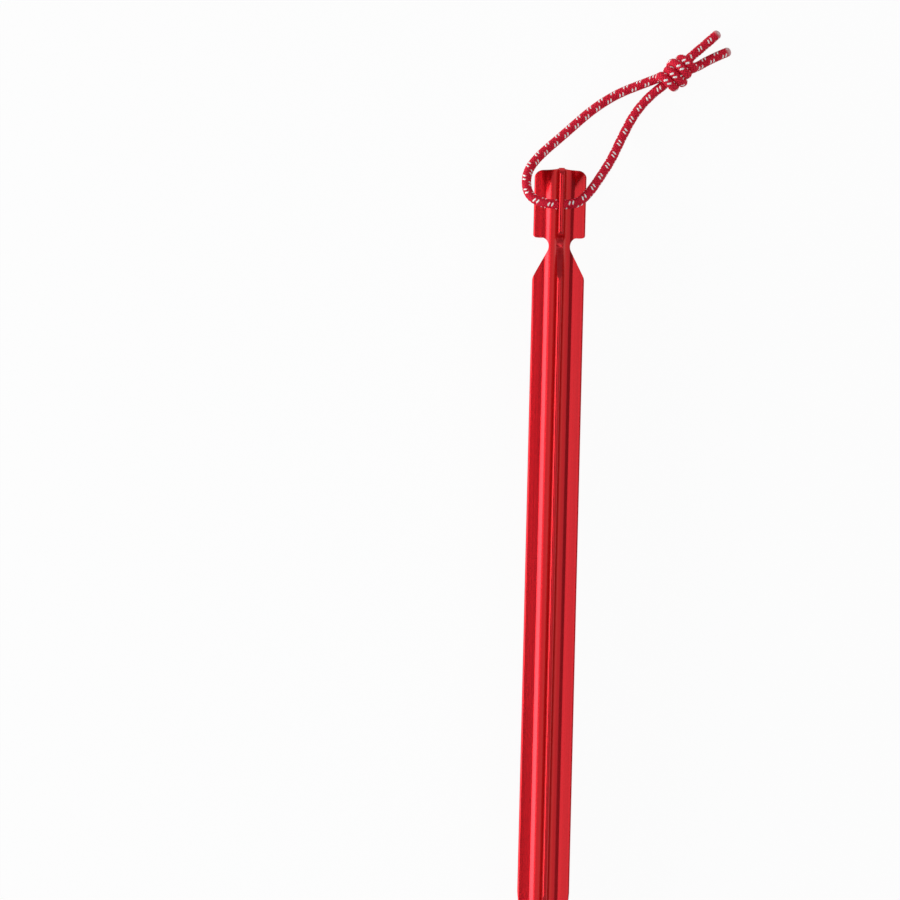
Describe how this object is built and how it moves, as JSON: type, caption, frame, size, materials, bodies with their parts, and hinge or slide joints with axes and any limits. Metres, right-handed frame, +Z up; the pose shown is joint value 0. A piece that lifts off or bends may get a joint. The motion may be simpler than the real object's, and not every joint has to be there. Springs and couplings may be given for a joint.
{
  "type": "tent stake",
  "caption": "Three-fin aluminium tent stake with guyline notches under its head, a tapered point and a knotted pull cord through one fin.",
  "frame": {"origin": "on the ground under the middle of the stake's length, with the stake lying on two of its fins", "axes": "+Y along the stake towards its head, +Z up through the third fin, +X to the side where the cord's knot lies"},
  "size_m": [0.046, 0.2228, 0.0101],
  "materials": {
    "anodised_aluminium": "red anodised, satin, with fine lengthwise extrusion lines",
    "cord_braid": "crimson braid with pairs of white reflective flecks"
  },
  "bodies": {
    "stake": {"stake_beam": "anodised_aluminium"},
    "pull_cord": {"cord_loop_left": "cord_braid", "cord_loop_right": "cord_braid", "cord_knot": "cord_braid", "cord_tail_left": "cord_braid", "cord_tail_right": "cord_braid"}
  },
  "joints": [
    {"name": "cord_swing", "type": "hinge", "parent": "stake", "child": "pull_cord", "pos_m": [0, 0.08725, 0.00736], "axis": [1, 0, 0], "range_deg": [0, 180]}
  ]
}
